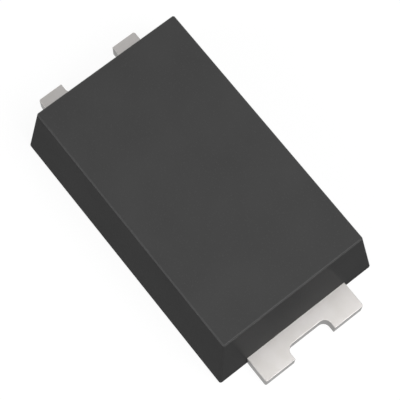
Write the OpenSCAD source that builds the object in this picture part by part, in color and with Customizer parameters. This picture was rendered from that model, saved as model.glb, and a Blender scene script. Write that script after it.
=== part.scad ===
// Flat two-terminal surface-mount diode. A drafted block of moulding compound covers a die that is
// soldered to the cathode pad, and a clip that joins the die to the forked anode terminal.
// The seating plane is z = 0, the origin is midway between the two ends, and +X points to the
// notched cathode tab. All sizes are in millimetres.

/* [Body] */
// Length of the moulded body along its lower edge
body_l = 3.335; // [3.2:0.005:3.6]
// Width of the moulded body along its lower edge
body_w = 2.035; // [1.88:0.005:2.18]
// Height of the moulded body from its lower edge to its top
body_h = 1.025; // [0.95:0.005:1.1]
// Draft angle of the four walls, which lets the block leave its mould
draft = 7.3; // [3:0.1:9]
// Corner radius of the walls at the lower edge
corner_r = 0.026; // [0.02:0.002:0.06]
// Radius of the rounded edge around the top
edge_r = 0.02; // [0.012:0.002:0.03]
// Height of the upright band at the lower edge, where the mould parts
band_h = 0.01; // [0.005:0.005:0.03]
// Height of the lower edge above the seating plane
standoff = 0.06; // [0.03:0.01:0.08]

/* [Terminals] */
// Thickness of the strip that both terminals are stamped from
lead_t = 0.20; // [0.16:0.01:0.24]
// Width of both terminals
terminal_w = 1.305; // [1.1:0.005:1.35]
// How far each terminal stands out past the lower edge of the body
reach = 0.30; // [0.25:0.01:0.34]
// Length of the cathode's soldering face, tab included
cathode_l = 2.40; // [2.2:0.02:2.6]
// Length of the anode's soldering face, prongs included
anode_l = 0.70; // [0.66:0.01:0.8]
// Width of the notch in the cathode tab
notch_w = 0.53; // [0.4:0.01:0.6]
// Width of the notch in the anode terminal, the gap between its prongs
gap_w = 0.70; // [0.6:0.01:0.8]
// Depth of both notches
notch_d = 0.15; // [0.14:0.01:0.2]
// Fillet radius in the inner corners of both notches
notch_r = 0.08; // [0.04:0.01:0.13]
// Rounding of the outer corners of both terminals
lug_r = 0.02; // [0.01:0.005:0.05]
// Sideways reach of the coined ledge that locks each terminal in the moulding
ledge_w = 0.12; // [0.08:0.01:0.16]
// Thickness of the coined ledge
ledge_t = 0.09; // [0.06:0.01:0.11]
// Moulding left between the ledge and the end of the body
ledge_cover = 0.15; // [0.1:0.01:0.2]

/* [Die and clip] */
// Side of the square silicon die
die_side = 1.15; // [0.9:0.05:1.25]
// Thickness of the die
die_t = 0.20; // [0.15:0.01:0.25]
// Thickness of each solder layer
solder_t = 0.03; // [0.02:0.005:0.05]
// Rim of solder that runs out around each joint
solder_rim = 0.04; // [0.02:0.01:0.05]
// Width of the clip
clip_w = 0.80; // [0.72:0.02:1]
// Thickness of the clip
clip_t = 0.15; // [0.1:0.01:0.18]
// Inner radius of both bends of the clip
bend_r = 0.06; // [0.03:0.01:0.08]
// Angle of the sloped stretch between the bends
slope = 50; // [40:1:60]
// Length of the clip's foot on the anode terminal
foot_l = 0.25; // [0.2:0.01:0.25]
// Diameter of the round boss coined down onto the die
boss_d = 0.60; // [0.4:0.05:0.7]
// Height of the boss
boss_h = 0.05; // [0.03:0.01:0.06]
// Wall of the boss around the dimple that the punch leaves above it
boss_wall = 0.08; // [0.05:0.01:0.1]
// How far the clip runs on past the boss
clip_lip = 0.12; // [0.05:0.01:0.2]

/* [Hidden] */
$fn = 64;
hull_fn = 32;
bend_steps = 8;

// Places along X
end_x = body_l / 2 + reach;
cathode_in = end_x - cathode_l;
anode_in = anode_l - end_x;
die_x = (cathode_in + body_l / 2) / 2;
clip_end = die_x + boss_d / 2 + clip_lip;

// Levels, from the seating plane up
die_z = lead_t + solder_t;
boss_z = die_z + die_t + solder_t;
plate_z = boss_z + boss_h;
foot_z = lead_t + solder_t;
top_z = standoff + body_h;

// The clip's slope: what the two bends leave of the rise is straight
outer_r = bend_r + clip_t;
rise = plate_z - foot_z;
slope_l = (rise - (bend_r + outer_r) * (1 - cos(slope))) / sin(slope);
bend_gap = (bend_r + outer_r) * sin(slope) + slope_l * cos(slope);

// Colours of the finished surfaces
compound_colour = "#46464a";
tin_colour = "#cfcbc8";
copper_colour = "#b8734a";
silicon_colour = "#5c6068";
solder_colour = "#9a9b9e";

// Points of an arc from one angle to another, counted from straight down towards +X
function arc(centre, radius, from, to) =
    [for (i = [0 : bend_steps])
        let (a = from + (to - from) * i / bend_steps)
        centre + radius * [sin(a), -cos(a)]];

// One copy at each corner of a rectangle that lies inset from the lower edge
module at_corners(inset, level) {
    for (sx = [-1, 1], sy = [-1, 1])
        translate([sx * (body_l / 2 - inset), sy * (body_w / 2 - inset), level])
            children();
}

// The drafted block, before the metal is taken out of it
module body_block() {
    drafted_h = body_h - band_h - edge_r;
    top_inset = drafted_h * tan(draft) + edge_r / cos(draft);
    hull() {
        at_corners(corner_r, standoff)
            cylinder(r = corner_r, h = band_h, $fn = hull_fn);
        at_corners(top_inset, top_z - edge_r)
            sphere(r = edge_r, $fn = hull_fn);
    }
}

// Outline of a notch that opens at x = 0 and runs to -notch_d, with filleted inner corners
module notch_outline(width) {
    side = width / 2 - notch_r;
    straight = notch_d - notch_r;
    translate([-straight, -width / 2])
        square([straight + notch_r, width]);
    translate([-notch_d, -side])
        square([notch_r, 2 * side]);
    for (s = [-1, 1])
        translate([-straight, s * side])
            circle(r = notch_r);
}

// Outline of a terminal, from its outer end at x = 0 to -length
module terminal_outline(length) {
    side = terminal_w / 2 - lug_r;
    translate([-length, -terminal_w / 2])
        square([length - lug_r, terminal_w]);
    translate([-lug_r, -side])
        square([lug_r, 2 * side]);
    for (s = [-1, 1])
        translate([-lug_r, s * side])
            circle(r = lug_r);
}

// A stamped terminal with a notch in its outer end and a coined ledge around its buried part
module terminal(length, width_of_notch) {
    ledge_out = reach + ledge_cover;
    linear_extrude(lead_t)
        difference() {
            terminal_outline(length);
            notch_outline(width_of_notch);
        }
    translate([-length - ledge_w, -terminal_w / 2 - ledge_w, lead_t - ledge_t])
        difference() {
            cube([length + ledge_w - ledge_out, terminal_w + 2 * ledge_w, ledge_t]);
            translate([ledge_w, ledge_w, 0])
                cube([length, terminal_w, ledge_t]);
        }
}

module cathode_shape() {
    translate([end_x, 0, 0])
        terminal(cathode_l, notch_w);
}

module anode_shape() {
    translate([-end_x, 0, 0])
        mirror([1, 0, 0])
            terminal(anode_l, gap_w);
}

// A square slab centred over the die's place
module die_slab(side, thickness, level) {
    translate([die_x - side / 2, -side / 2, level])
        cube([side, side, thickness]);
}

module die_shape() {
    die_slab(die_side, die_t, die_z);
}

module die_solder_shape() {
    die_slab(die_side + 2 * solder_rim, solder_t, lead_t);
}

module clip_solder_shape() {
    translate([die_x, 0, die_z + die_t])
        cylinder(d = boss_d + 2 * solder_rim, h = solder_t);
}

module foot_solder_shape() {
    translate([anode_in - foot_l - solder_rim, -clip_w / 2 - solder_rim, lead_t])
        cube([foot_l + 2 * solder_rim, clip_w + 2 * solder_rim, solder_t]);
}

// Side view of the clip: foot, bend, slope, bend and plate
module clip_profile() {
    low_bend = [anode_in, foot_z + outer_r];
    high_bend = [anode_in + bend_gap, plate_z - bend_r];
    polygon(concat(
        [[anode_in - foot_l, foot_z]],
        arc(low_bend, outer_r, 0, slope),
        arc(high_bend, bend_r, slope + 180, 180),
        [[clip_end, plate_z], [clip_end, plate_z + clip_t]],
        arc(high_bend, outer_r, 180, slope + 180),
        arc(low_bend, bend_r, slope, 0),
        [[anode_in - foot_l, foot_z + clip_t]]
    ));
}

module clip_shape() {
    difference() {
        union() {
            rotate([90, 0, 0])
                linear_extrude(clip_w, center = true)
                    clip_profile();
            translate([die_x, 0, boss_z])
                cylinder(d = boss_d, h = boss_h + clip_t);
        }
        translate([die_x, 0, plate_z + clip_t - boss_h])
            cylinder(d = boss_d - 2 * boss_wall, h = 2 * boss_h);
    }
}

module molded_body() {
    color(compound_colour)
        difference() {
            body_block();
            cathode_shape();
            anode_shape();
            die_solder_shape();
            die_shape();
            clip_solder_shape();
            foot_solder_shape();
            clip_shape();
        }
}

module cathode_pad() {
    color(tin_colour)
        cathode_shape();
}

module anode_terminal() {
    color(tin_colour)
        anode_shape();
}

module die() {
    color(silicon_colour)
        die_shape();
}

module clip() {
    color(copper_colour)
        clip_shape();
}

module die_solder() {
    color(solder_colour)
        die_solder_shape();
}

module clip_solder() {
    color(solder_colour)
        clip_solder_shape();
}

module foot_solder() {
    color(solder_colour)
        foot_solder_shape();
}

molded_body();
cathode_pad();
anode_terminal();
die();
clip();
die_solder();
clip_solder();
foot_solder();
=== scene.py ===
import math
import bmesh
import bpy
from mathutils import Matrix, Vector


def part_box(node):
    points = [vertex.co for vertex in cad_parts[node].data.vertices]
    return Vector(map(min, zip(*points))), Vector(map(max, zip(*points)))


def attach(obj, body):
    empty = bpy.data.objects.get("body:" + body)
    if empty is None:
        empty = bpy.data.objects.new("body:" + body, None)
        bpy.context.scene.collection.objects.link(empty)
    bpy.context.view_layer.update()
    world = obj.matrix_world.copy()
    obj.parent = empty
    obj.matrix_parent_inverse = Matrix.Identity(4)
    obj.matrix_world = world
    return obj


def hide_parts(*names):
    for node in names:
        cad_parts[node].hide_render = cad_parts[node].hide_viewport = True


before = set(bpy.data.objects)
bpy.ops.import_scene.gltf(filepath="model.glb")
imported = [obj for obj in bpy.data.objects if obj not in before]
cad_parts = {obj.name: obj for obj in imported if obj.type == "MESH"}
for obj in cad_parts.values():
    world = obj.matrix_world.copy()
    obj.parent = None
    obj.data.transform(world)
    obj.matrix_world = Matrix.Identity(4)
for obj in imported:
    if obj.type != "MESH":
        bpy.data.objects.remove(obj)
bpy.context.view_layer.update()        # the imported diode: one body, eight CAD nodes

mm = 0.001
scene = bpy.context.scene
scene.view_settings.view_transform = "Standard"


# Small tools for nodes and colours

def linear(hexText):        # sRGB hex to linear RGBA
    parts = [int(hexText[i:i + 2], 16) / 255 for i in (1, 3, 5)]
    return [c / 12.92 if c <= 0.04045 else ((c + 0.055) / 1.055) ** 2.4 for c in parts] + [1.0]


def addNode(tree, kind, settings=None, links=None):        # a key is an input or else a property
    node = tree.nodes.new(kind)
    for key, value in (settings or {}).items():
        if isinstance(key, int) or key in node.inputs:
            node.inputs[key].default_value = value
        else:
            setattr(node, key, value)
    for key, socket in (links or {}).items():
        tree.links.new(socket, node.inputs[key])
    return node


def emptyMaterial(name):
    material = bpy.data.materials.new(name)
    material.use_nodes = True
    material.node_tree.nodes.clear()
    return material, material.node_tree


def perMm(size):        # pattern scale that gives features of this size in mm
    return 1 / (size * mm)


# Small tools for modelling

sameSpot = 0.001 * mm        # places nearer than this count as one
bisectWithin = 0.00001 * mm        # bisect's own tolerance is 0.1 mm, too coarse here
mergeWithin = 0.0001 * mm        # joins the loose triangles of a CAD mesh
uprightEdge = 0.9        # an edge is upright when more than this share of it runs along Z
sideFace = 0.5        # a face is a side when less than this share of its normal is along Z
smoothAngle = math.radians(35)        # sharper edges stay crisp


def selectOnly(piece):
    bpy.ops.object.select_all(action="DESELECT")
    piece.select_set(True)
    bpy.context.view_layer.objects.active = piece


def addBox(name, low, high):        # a cube primitive at its size and place, ready to shape
    bpy.ops.object.select_all(action="DESELECT")
    middle = (Vector(low) + Vector(high)) / 2
    bpy.ops.mesh.primitive_cube_add(size=1, location=middle, scale=Vector(high) - Vector(low))
    bpy.ops.object.transform_apply(location=True, rotation=True, scale=True)
    piece = bpy.context.object
    piece.name = name
    piece.data.name = name
    return piece


def pick(piece, kind, test):        # edit mode: select the edges or faces that pass
    bpy.ops.mesh.select_mode(type=kind)
    bpy.ops.mesh.select_all(action="DESELECT")
    mesh = bmesh.from_edit_mesh(piece.data)
    for item in {"EDGE": mesh.edges, "FACE": mesh.faces}[kind]:
        item.select_set(test(item))
    mesh.select_flush_mode()
    bmesh.update_edit_mesh(piece.data)


def edgeMiddle(edge):
    return (edge.verts[0].co + edge.verts[1].co) / 2


def atHeight(edge, height):
    return abs(edgeMiddle(edge).z - height) < sameSpot


def uprightAt(edge, along):        # an upright edge at this place along X
    run = (edge.verts[1].co - edge.verts[0].co).normalized()
    return abs(run.z) > uprightEdge and abs(edgeMiddle(edge).x - along) < sameSpot


def finishWith(piece, kind, settings):        # add a modifier and apply it
    selectOnly(piece)
    modifier = piece.modifiers.new(kind.lower(), kind)
    for key, value in settings.items():
        setattr(modifier, key, value)
    bpy.ops.object.modifier_apply(modifier=modifier.name)


def cutAway(piece, cutter, keep=False):
    finishWith(piece, "BOOLEAN", {"operation": "DIFFERENCE", "solver": "EXACT", "object": cutter})
    if not keep:
        bpy.data.objects.remove(cutter, do_unlink=True)


def smoothRounds(piece):
    selectOnly(piece)
    bpy.ops.object.shade_smooth_by_angle(angle=smoothAngle)


# Moulded body: drafted block with rounded corners and a rounded top edge

bodySettings = {
    "draft": math.radians(7.3),
    "band": 0.01 * mm,        # upright band at the parting line
    "lowerCorner": 0.026 * mm,        # the upright corners narrow towards the top
    "upperCorner": 0.022 * mm,
    "topRound": 0.0177 * mm,        # this offset gives a radius of 0.02
    "lowerRound": 0.006 * mm,
    "roundSteps": 6,
    "rimHeight": 0.03 * mm,        # the rubbed faces of the top edge lie this near the top
    "rimTilt": (0.2, 0.99),        # and the Z parts of their normals lie between these
}


def makeBody(body):
    low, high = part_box("molded_body")
    bandTop = low.z + body["band"]
    inset = (high.z - bandTop) * math.tan(body["draft"])
    bpy.ops.object.select_all(action="DESELECT")
    bpy.ops.mesh.primitive_plane_add(size=2, location=(0, 0, low.z))        # resized by half lengths
    piece = bpy.context.object
    piece.name = "moldedBody"
    piece.data.name = "moldedBody"
    bpy.ops.object.transform_apply(location=True, rotation=True, scale=True)
    bpy.ops.object.mode_set(mode="EDIT")
    bpy.ops.mesh.select_all(action="SELECT")
    bpy.ops.transform.resize(value=(high.x, high.y, 1), center_override=(0, 0, low.z))
    bpy.ops.mesh.bevel(offset=body["lowerCorner"], segments=body["roundSteps"], affect="VERTICES")
    bpy.ops.mesh.extrude_region_move(TRANSFORM_OT_translate={"value": (0, 0, body["band"])})
    bpy.ops.mesh.delete(type="ONLY_FACE")
    bpy.ops.mesh.primitive_plane_add(size=2, location=(0, 0, high.z))
    shrink = (high.x - inset, high.y - inset, 1)
    bpy.ops.transform.resize(value=shrink, center_override=(0, 0, high.z))
    bpy.ops.mesh.bevel(offset=body["upperCorner"], segments=body["roundSteps"], affect="VERTICES")
    bpy.ops.mesh.delete(type="ONLY_FACE")
    pick(piece, "EDGE", lambda edge: edgeMiddle(edge).z > bandTop - sameSpot)
    bpy.ops.mesh.bridge_edge_loops()
    for level in (low.z, high.z):
        pick(piece, "EDGE", lambda edge: atHeight(edge, level) and len(edge.link_faces) == 1)
        bpy.ops.mesh.edge_face_add()
    bpy.ops.mesh.select_all(action="SELECT")
    bpy.ops.mesh.normals_make_consistent(inside=False)
    for level, offset in ((high.z, body["topRound"]), (low.z, body["lowerRound"])):
        pick(piece, "EDGE", lambda edge: atHeight(edge, level))
        bpy.ops.mesh.bevel(offset=offset, segments=body["roundSteps"], affect="EDGES")
    bpy.ops.object.mode_set(mode="OBJECT")
    return piece


# Terminals: stamped plates, notched at the outer end, with a coined ledge inside the body

terminalSettings = {
    "cathodeNotch": 0.53 * mm,        # widths of the two notches
    "anodeNotch": 0.70 * mm,
    "notchDepth": 0.15 * mm,
    "notchRadius": 0.08 * mm,
    "cornerRadius": 0.02 * mm,
    "roundSteps": 8,
    "ledge": 0.12 * mm,        # sideways reach of the coined ledge
    "ledgeThick": 0.09 * mm,
    "ledgeStart": 0.45 * mm,        # from the outer end
    "edgeRound": 0.006 * mm,        # rolled edge left by the press tool
    "edgeSteps": 3,
    "edgeAngle": math.radians(40),        # edges sharper than this are rolled
    "cutterPast": 0.1 * mm,        # how far the notch cutter stands past the plate
}


def makeTerminal(name, node, outward, notchWidth, plate):        # outward is the sign of X at the outer end
    low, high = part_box(node)
    outer = high.x if outward > 0 else low.x
    inner = (low.x if outward > 0 else high.x) + outward * plate["ledge"]
    half = high.y - plate["ledge"]
    split = high.z - plate["ledgeThick"]
    ledgeX = outer - outward * plate["ledgeStart"]
    ends = sorted((inner, outer))
    piece = addBox(name, (ends[0], -half, low.z), (ends[1], half, high.z))
    bpy.ops.object.mode_set(mode="EDIT")
    for place, normal in (((0, 0, split), (0, 0, 1)), ((ledgeX, 0, 0), (1, 0, 0))):
        bpy.ops.mesh.select_all(action="SELECT")
        bpy.ops.mesh.bisect(plane_co=place, plane_no=normal, threshold=bisectWithin)

    def onLedge(face):
        middle = face.calc_center_median()
        buried = (ledgeX - middle.x) * outward > 0
        return middle.z > split and abs(face.normal.z) < sideFace and buried

    pick(piece, "FACE", onLedge)
    bpy.ops.mesh.extrude_region_shrink_fatten(
        TRANSFORM_OT_shrink_fatten={"value": plate["ledge"], "use_even_offset": True})
    pick(piece, "EDGE", lambda edge: uprightAt(edge, outer))
    bpy.ops.mesh.bevel(offset=plate["cornerRadius"], segments=plate["roundSteps"], affect="EDGES")
    bpy.ops.object.mode_set(mode="OBJECT")

    past = plate["cutterPast"]
    bottom = outer - outward * plate["notchDepth"]
    ends = sorted((bottom, outer + outward * past))
    side = notchWidth / 2
    cutter = addBox("notchCutter", (ends[0], -side, low.z - past), (ends[1], side, high.z + past))
    bpy.ops.object.mode_set(mode="EDIT")
    pick(cutter, "EDGE", lambda edge: uprightAt(edge, bottom))
    bpy.ops.mesh.bevel(offset=plate["notchRadius"], segments=plate["roundSteps"], affect="EDGES")
    bpy.ops.object.mode_set(mode="OBJECT")
    cutAway(piece, cutter)
    return piece


moldedBody = makeBody(bodySettings)
cathodePad = makeTerminal(
    "cathodePad", "cathode_pad", 1, terminalSettings["cathodeNotch"], terminalSettings)
anodeTerminal = makeTerminal(
    "anodeTerminal", "anode_terminal", -1, terminalSettings["anodeNotch"], terminalSettings)
print("pieces modelled")


# Pockets: the compound is moulded round the metal, so each piece inside it is taken out of it

def cutPocket(body, node):
    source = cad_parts[node]
    copy = bpy.data.objects.new("pocketCutter", source.data.copy())
    copy.matrix_world = source.matrix_world
    scene.collection.objects.link(copy)
    selectOnly(copy)
    bpy.ops.object.mode_set(mode="EDIT")
    bpy.ops.mesh.select_all(action="SELECT")
    bpy.ops.mesh.remove_doubles(threshold=mergeWithin)
    bpy.ops.object.mode_set(mode="OBJECT")
    cutAway(body, copy)


for terminal in (cathodePad, anodeTerminal):
    cutAway(moldedBody, terminal, keep=True)
for node in ("die_solder", "die", "clip_solder", "foot_solder", "clip"):
    cutPocket(moldedBody, node)
smoothRounds(moldedBody)
finishWith(moldedBody, "WEIGHTED_NORMAL", {"keep_sharp": True})        # flat faces stay flat beside rounds
for terminal in (cathodePad, anodeTerminal):
    smoothRounds(terminal)
    finishWith(terminal, "BEVEL", {
        "width": terminalSettings["edgeRound"], "segments": terminalSettings["edgeSteps"],
        "limit_method": "ANGLE", "angle_limit": terminalSettings["edgeAngle"], "harden_normals": True})
print("pockets cut and edges rolled")


# Materials. Pattern sizes and depths are in mm

def levelness(tree):        # 1 on level faces, 0 on upright ones
    normal = addNode(tree, "ShaderNodeTexCoord").outputs["Normal"]
    height = addNode(tree, "ShaderNodeSeparateXYZ", links={"Vector": normal}).outputs["Z"]
    return addNode(tree, "ShaderNodeMath", {"operation": "ABSOLUTE"}, {0: height}).outputs[0]


def addClouds(tree, place, clouds):        # soft clouds of two tones, and the noise behind them
    noise = addNode(tree, "ShaderNodeTexNoise",
                    {"Scale": perMm(clouds["size"]), "Detail": clouds["detail"]}, {"Vector": place})
    low, high = clouds["range"]
    spread = addNode(tree, "ShaderNodeMapRange", {"From Min": low, "From Max": high},
                     {"Value": noise.outputs["Fac"]})
    # Mix has its factor at input 0, numbers at 2 and 3, and colours at 6 and 7
    tone = addNode(tree, "ShaderNodeMix",
                   {"data_type": "RGBA", 6: linear(clouds["dull"]), 7: linear(clouds["bright"])},
                   {0: spread.outputs[0]})
    return tone.outputs[2], noise.outputs["Fac"]


# Silica-filled epoxy from a spark-eroded mould: an even charcoal with faint flow clouds and fine
# filler grain, matt from above, though its walls mirror the bright tab faintly at a low angle.
# Handling has rubbed the texture off the top edge, so that it catches the light
compoundSettings = {
    "clouds": {"size": 0.6, "detail": 3.0, "range": (0.3, 0.7), "dull": "#414141", "bright": "#444444"},
    "grain": "#464646",
    "grainSize": 0.03,        # real filler is under 0.01 mm, drawn coarser to show
    "grainEdge": 0.28, "grainMiddle": 0.12,        # where a grain's tone starts, and where it is full
    "textureSize": 0.02,        # eroded texture
    "textureDetail": 2.0,
    "patchy": 0.04,        # how far the roughness strays
    # the faces' specular level is low, because floor and studio are white in reflections
    "faces": {"roughness": 0.3, "specular": 0.00095, "textureDepth": 0.0012},
    "rubbed": {"roughness": 0.32, "specular": 0.13, "textureDepth": 0.0001},
}


def makeCompound(name, finish, compound):
    material, tree = emptyMaterial(name)
    place = addNode(tree, "ShaderNodeTexCoord").outputs["Object"]
    base = addClouds(tree, place, compound["clouds"])[0]
    grains = addNode(tree, "ShaderNodeTexVoronoi", {"Scale": perMm(compound["grainSize"])}, {"Vector": place})
    speck = addNode(tree, "ShaderNodeMapRange",
                    {"From Min": compound["grainEdge"], "From Max": compound["grainMiddle"]},
                    {"Value": grains.outputs["Distance"]})
    colour = addNode(tree, "ShaderNodeMix", {"data_type": "RGBA", 7: linear(compound["grain"])},
                     {0: speck.outputs[0], 6: base})
    texture = addNode(tree, "ShaderNodeTexNoise",
                      {"Scale": perMm(compound["textureSize"]), "Detail": compound["textureDetail"]},
                      {"Vector": place})
    rough = addNode(tree, "ShaderNodeMapRange", {
        "To Min": finish["roughness"] - compound["patchy"],
        "To Max": finish["roughness"] + compound["patchy"]}, {"Value": texture.outputs["Fac"]})
    relief = addNode(tree, "ShaderNodeBump", {"Strength": 1.0, "Distance": finish["textureDepth"] * mm},
                     {"Height": texture.outputs["Fac"]})
    shader = addNode(tree, "ShaderNodeBsdfPrincipled", {"Specular IOR Level": finish["specular"]}, {
        "Base Color": colour.outputs[2], "Roughness": rough.outputs[0], "Normal": relief.outputs["Normal"]})
    addNode(tree, "ShaderNodeOutputMaterial", links={"Surface": shader.outputs["BSDF"]})
    return material


# What the metals share. The levels say how far a rounded edge has turned from its face to its wall
metalSettings = {
    "wallStart": 0.6, "wallFull": 0.2,        # the wall's colour, on tin darker partly as painted shade, and drag lines
    "edgeFull": 0.9, "faceFull": 0.99,        # roughness of the rolled edge and of the face
    "grainDetail": 3.0, "dragDetail": 2.0,
    "dragRun": (1, 1, 0.08),        # drag lines are drawn out upright
}

# Matt tin plated on stamped copper: satin level faces with a broad, slightly warm reflection, faintly
# clouded where the plating is thicker, dull on rolled edges, and on the sheared walls a cooler grey
# with faint upright drag lines. That darker wall grey is partly a duller sheared finish and partly painted
# shade
tinSettings = {
    "clouds": {"size": 0.15, "detail": 4.0, "range": (0.35, 0.65), "dull": "#bab7b4", "bright": "#bebbb9"},
    # darker grey of the upright walls: partly painted shade, partly their duller sheared finish
    "walls": "#989796",
    "grainSize": 0.02,        # real plating grain is near 0.005 mm, drawn coarser to show
    "grainRun": (1, 1, 1),
    "reliefDepth": 0.0005,
    "dragSize": 0.03,
    "roughness": 0.365, "patchy": 0.01,
    "edgeRoughness": 0.66,
}

# Bare copper strip, rolled and then formed: a warm satin sheen with fine rolling lines along the
# strip, tarnished in patches, and darker drag lines on its sheared edges
copperSettings = {
    "clouds": {"size": 0.2, "detail": 4.0, "range": (0.35, 0.65), "dull": "#b06a45", "bright": "#c98560"},
    "walls": "#a8623f",
    "grainSize": 0.015,        # real rolling lines are near 0.003 mm, drawn coarser to show
    "grainRun": (0.05, 1, 1),
    "reliefDepth": 0.0006,
    "dragSize": 0.02,
    "roughness": 0.4, "patchy": 0.05,
    "edgeRoughness": 0.5,
}

# Reflowed solder: a cool grey satin, frosted in patches by its grain as it froze
solderSettings = {
    "clouds": {"size": 0.08, "detail": 4.0, "range": (0.35, 0.65), "dull": "#8d8f93", "bright": "#a9abae"},
    "walls": "#9a9ca0",
    "grainSize": 0.025,
    "grainRun": (1, 1, 1),
    "reliefDepth": 0.001,
    "dragSize": 0.03,
    "roughness": 0.45, "patchy": 0.05,
    "edgeRoughness": 0.45,
}


def makeMetal(name, metal, shared):
    material, tree = emptyMaterial(name)
    place = addNode(tree, "ShaderNodeTexCoord").outputs["Object"]
    face, clouds = addClouds(tree, place, metal["clouds"])
    level = levelness(tree)
    # upright faces take the walls colour; on tin its darker grey is partly painted shade
    wall = addNode(tree, "ShaderNodeMapRange",
                   {"From Min": shared["wallStart"], "From Max": shared["wallFull"]}, {"Value": level})
    colour = addNode(tree, "ShaderNodeMix", {"data_type": "RGBA", 7: linear(metal["walls"])},
                     {0: wall.outputs[0], 6: face})
    along = addNode(tree, "ShaderNodeMapping", {"Scale": metal["grainRun"]}, {"Vector": place})
    grain = addNode(tree, "ShaderNodeTexNoise",
                    {"Scale": perMm(metal["grainSize"]), "Detail": shared["grainDetail"]},
                    {"Vector": along.outputs["Vector"]})
    down = addNode(tree, "ShaderNodeMapping", {"Scale": shared["dragRun"]}, {"Vector": place})
    drag = addNode(tree, "ShaderNodeTexNoise",
                   {"Scale": perMm(metal["dragSize"]), "Detail": shared["dragDetail"]},
                   {"Vector": down.outputs["Vector"]})
    height = addNode(tree, "ShaderNodeMix",
                     links={0: wall.outputs[0], 2: grain.outputs["Fac"], 3: drag.outputs["Fac"]})
    relief = addNode(tree, "ShaderNodeBump", {"Strength": 1.0, "Distance": metal["reliefDepth"] * mm},
                     {"Height": height.outputs[0]})
    faceRough = addNode(tree, "ShaderNodeMapRange", {
        "To Min": metal["roughness"] - metal["patchy"],
        "To Max": metal["roughness"] + metal["patchy"]}, {"Value": clouds})
    rough = addNode(tree, "ShaderNodeMapRange", {
        "From Min": shared["edgeFull"], "From Max": shared["faceFull"], "To Min": metal["edgeRoughness"]},
        {"Value": level, "To Max": faceRough.outputs[0]})
    shader = addNode(tree, "ShaderNodeBsdfPrincipled", {"Metallic": 1.0}, {
        "Base Color": colour.outputs[2], "Roughness": rough.outputs[0], "Normal": relief.outputs["Normal"]})
    addNode(tree, "ShaderNodeOutputMaterial", links={"Surface": shader.outputs["BSDF"]})
    return material


# Sawn silicon: the die's upright sides are dark, glossy and crossed by level saw lines, and its
# two faces are silvery from their metal coat
siliconSettings = {
    "clouds": {"size": 0.3, "detail": 3.0, "range": (0.35, 0.65), "dull": "#9c9ca0", "bright": "#b0b0b3"},
    "sides": "#3c4048",
    "sideFull": 0.4, "coatFull": 0.6,        # levels up to which it is side, and past which it is coat
    "lineSize": 0.012,        # real saw lines are near 0.002 mm, drawn coarser to show
    "lineDetail": 2.0,
    "lineRun": (0.05, 0.05, 1),        # drawn out level
    "lineDepth": 0.0008,
    "smooth": 0.25, "rough": 0.45,
}


def makeSilicon(silicon):
    material, tree = emptyMaterial("sawnSilicon")
    place = addNode(tree, "ShaderNodeTexCoord").outputs["Object"]
    coat = addClouds(tree, place, silicon["clouds"])[0]
    coated = addNode(tree, "ShaderNodeMapRange",
                     {"From Min": silicon["sideFull"], "From Max": silicon["coatFull"]},
                     {"Value": levelness(tree)})
    colour = addNode(tree, "ShaderNodeMix", {"data_type": "RGBA", 6: linear(silicon["sides"])},
                     {0: coated.outputs[0], 7: coat})
    across = addNode(tree, "ShaderNodeMapping", {"Scale": silicon["lineRun"]}, {"Vector": place})
    lines = addNode(tree, "ShaderNodeTexNoise",
                    {"Scale": perMm(silicon["lineSize"]), "Detail": silicon["lineDetail"]},
                    {"Vector": across.outputs["Vector"]})
    rough = addNode(tree, "ShaderNodeMapRange", {"To Min": silicon["smooth"], "To Max": silicon["rough"]},
                    {"Value": lines.outputs["Fac"]})
    relief = addNode(tree, "ShaderNodeBump", {"Strength": 1.0, "Distance": silicon["lineDepth"] * mm},
                     {"Height": lines.outputs["Fac"]})
    shader = addNode(tree, "ShaderNodeBsdfPrincipled", {"Metallic": 1.0}, {
        "Base Color": colour.outputs[2], "Roughness": rough.outputs[0], "Normal": relief.outputs["Normal"]})
    addNode(tree, "ShaderNodeOutputMaterial", links={"Surface": shader.outputs["BSDF"]})
    return material


mouldCompound = makeCompound("mouldCompound", compoundSettings["faces"], compoundSettings)
rubbedCompound = makeCompound("rubbedCompound", compoundSettings["rubbed"], compoundSettings)
matteTin = makeMetal("matteTin", tinSettings, metalSettings)
rolledCopper = makeMetal("rolledCopper", copperSettings, metalSettings)
reflowedSolder = makeMetal("reflowedSolder", solderSettings, metalSettings)
sawnSilicon = makeSilicon(siliconSettings)

for piece, node, slot, material in (
        (moldedBody, "molded_body", "mould_compound", mouldCompound),
        (cathodePad, "cathode_pad", "matte_tin", matteTin),
        (anodeTerminal, "anode_terminal", "matte_tin", matteTin)):
    piece.data.materials.clear()
    piece.data.materials.append(material)
    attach(piece, "root")
    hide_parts(node)

moldedBody.data.materials.append(rubbedCompound)
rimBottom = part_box("molded_body")[1].z - bodySettings["rimHeight"]
steepest, flattest = bodySettings["rimTilt"]
for face in moldedBody.data.polygons:
    if face.center.z > rimBottom and steepest < face.normal.z < flattest:
        face.material_index = 1

for node, material in (
        ("die", sawnSilicon), ("clip", rolledCopper), ("die_solder", reflowedSolder),
        ("clip_solder", reflowedSolder), ("foot_solder", reflowedSolder)):
    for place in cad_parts[node].material_slots:
        place.material = material
print("materials on")


# Camera, fitted to the object's edges in the photograph

cameraSettings = {
    "place": Vector((3.6954, -2.8814, 15.6651)) * mm,
    "target": Vector((0.0901, -0.0430, 0.5494)) * mm,
    "lens": 136.579,
    "sensor": 36,
    "clipStart": 0.1 * mm,
}
cameraData = bpy.data.cameras.new("camera")
cameraData.lens = cameraSettings["lens"]
cameraData.sensor_width = cameraSettings["sensor"]
cameraData.clip_start = cameraSettings["clipStart"]
camera = bpy.data.objects.new("camera", cameraData)
camera.location = cameraSettings["place"]
sight = cameraSettings["target"] - cameraSettings["place"]
camera.rotation_euler = sight.to_track_quat("-Z", "Y").to_euler()
scene.collection.objects.link(camera)
scene.camera = camera


# Floor and light

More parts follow.
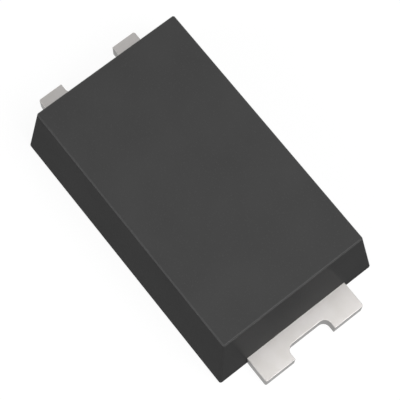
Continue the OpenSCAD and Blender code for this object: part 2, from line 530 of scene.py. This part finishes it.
floorSettings = {
    "size": 2,        # metres
    "grey": 0.10,        # what it throws back of the light
    "white": 0.915,        # what it shows of its own
}
bpy.ops.object.select_all(action="DESELECT")
bpy.ops.mesh.primitive_plane_add(size=floorSettings["size"], location=(0, 0, 0))
floor = bpy.context.object
floor.name = "floor"


def directlySeen(tree):        # 1 for what the camera, a reflection or clear glass looks at
    rays = addNode(tree, "ShaderNodeLightPath")
    first = addNode(tree, "ShaderNodeMath", {"operation": "MAXIMUM"},
                    {0: rays.outputs["Is Camera Ray"], 1: rays.outputs["Is Glossy Ray"]})
    return addNode(tree, "ShaderNodeMath", {"operation": "MAXIMUM"},
                   {0: first.outputs[0], 1: rays.outputs["Is Transmission Ray"]}).outputs[0]


# White paper: part of its white is its own, so that the shadow on it stays faint
paper, tree = emptyMaterial("floorPaper")
white = addNode(tree, "ShaderNodeMath", {"operation": "MULTIPLY", 1: floorSettings["white"]},
                {0: directlySeen(tree)})
matt = addNode(tree, "ShaderNodeBsdfDiffuse", {"Color": [floorSettings["grey"]] * 3 + [1]})
lit = addNode(tree, "ShaderNodeEmission", links={"Strength": white.outputs[0]})
both = addNode(tree, "ShaderNodeAddShader", links={0: matt.outputs[0], 1: lit.outputs[0]})
addNode(tree, "ShaderNodeOutputMaterial", links={"Surface": both.outputs[0]})
floor.data.materials.append(paper)

# White studio with a slightly greyer ceiling. It lights the object less than it shows in reflections
worldSettings = {
    "level": 0.27,        # as a light
    "walls": 1.0, "ceiling": 0.78,        # as seen
    "wallsEnd": 0.3, "ceilingStart": 0.95,        # heights of the direction that is looked in
}
world = bpy.data.worlds.new("studio")
scene.world = world
world.use_nodes = True
tree = world.node_tree
tree.nodes.clear()
way = addNode(tree, "ShaderNodeTexCoord").outputs["Generated"]
height = addNode(tree, "ShaderNodeSeparateXYZ", links={"Vector": way}).outputs["Z"]
seen = addNode(tree, "ShaderNodeMapRange", {
    "From Min": worldSettings["wallsEnd"], "From Max": worldSettings["ceilingStart"],
    "To Min": worldSettings["walls"], "To Max": worldSettings["ceiling"]}, {"Value": height})
level = addNode(tree, "ShaderNodeMix", {2: worldSettings["level"]},
                {0: directlySeen(tree), 3: seen.outputs[0]})
sky = addNode(tree, "ShaderNodeBackground", {"Color": (1, 1, 1, 1)}, {"Strength": level.outputs[0]})
addNode(tree, "ShaderNodeOutputWorld", links={"Surface": sky.outputs[0]})

# Soft square lamps aimed at the origin. Turn is the compass angle from +X, distance and size are in
# mm, and level is how bright a white card that faces the lamp would look
lampSettings = {
    "keyLamp": {"turn": 17, "rise": 62.5, "distance": 23, "size": 12.3, "level": 0.73},
    "sideLamp": {"turn": 270, "rise": 30, "distance": 60, "size": 52, "level": 0.44},
    "fillLamp": {"turn": 140, "rise": 5, "distance": 60, "size": 10, "level": 0.37},
}
for name, lampPlan in lampSettings.items():
    distance = lampPlan["distance"] * mm
    turn, rise = math.radians(lampPlan["turn"]), math.radians(lampPlan["rise"])
    towards = Vector((math.cos(turn) * math.cos(rise), math.sin(turn) * math.cos(rise), math.sin(rise)))
    lampData = bpy.data.lights.new(name, "AREA")
    lampData.size = lampPlan["size"] * mm
    lampData.energy = lampPlan["level"] * (math.pi * distance) ** 2
    lamp = bpy.data.objects.new(name, lampData)
    lamp.location = towards * distance
    lamp.rotation_euler = (-towards).to_track_quat("-Z", "Y").to_euler()
    scene.collection.objects.link(lamp)
print("camera, floor and lamps set")
